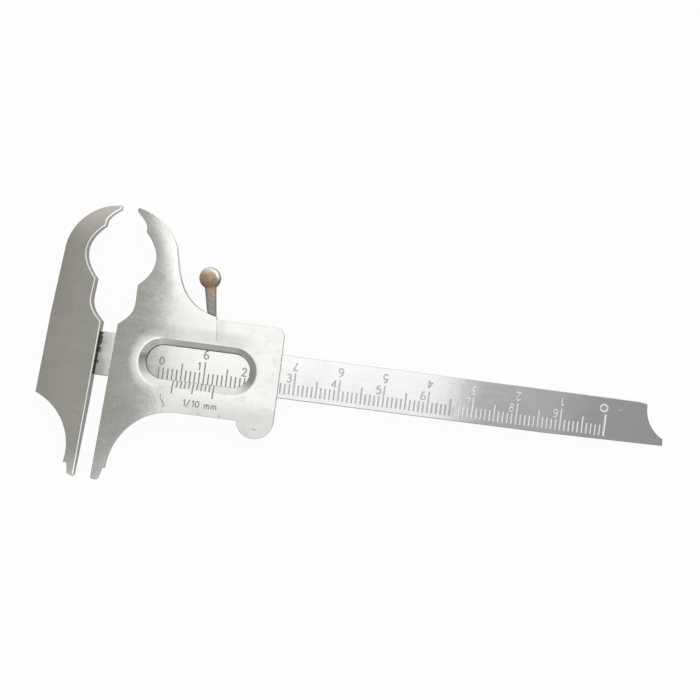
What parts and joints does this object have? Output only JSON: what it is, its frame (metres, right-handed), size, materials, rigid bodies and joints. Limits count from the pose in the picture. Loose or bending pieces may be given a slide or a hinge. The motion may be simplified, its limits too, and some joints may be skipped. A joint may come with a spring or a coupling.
{
  "type": "boley gauge",
  "caption": "Flat slide calliper with a millimetre scale, a vernier in a bevelled window, curved beaks above, straight jaws below and a ball-ended lock lever.",
  "frame": {"origin": "middle of the gauge's bounding box, on the plane that it lies on", "axes": "+X along the beam away from the fixed jaw, +Y towards the curved beaks, +Z out of the graduated face"},
  "size_m": [0.1392, 0.06, 0.0047],
  "materials": {
    "jaw_steel": "satin stainless steel, lightly mottled",
    "scale_steel": "satin stainless steel, engraved",
    "spring_steel": "bare hard steel",
    "plated_brass": "turned and polished, nickel plated"
  },
  "bodies": {
    "frame": {"beam": "scale_steel", "fixed_jaw": "jaw_steel", "jaw_dowel_1": "spring_steel", "jaw_dowel_2": "spring_steel"},
    "slider": {"moving_jaw": "jaw_steel", "slider_plate": "jaw_steel", "back_plate": "jaw_steel", "gib_spring": "spring_steel", "slider_rivet_1": "jaw_steel", "slider_rivet_2": "jaw_steel", "slider_rivet_3": "jaw_steel", "slider_rivet_4": "jaw_steel", "lever_pin": "spring_steel"},
    "lever": {"lock_lever": "plated_brass"}
  },
  "joints": [
    {"name": "slider_slide", "type": "slide", "parent": "frame", "child": "slider", "axis": [1, 0, 0], "range_m": [-0.00355, 0.0964]},
    {"name": "lock_lever_turn", "type": "hinge", "parent": "slider", "child": "lever", "pos_m": [-0.0334, 0.00502, 0], "axis": [0, 0, 1], "range_deg": [-35, 4]}
  ]
}
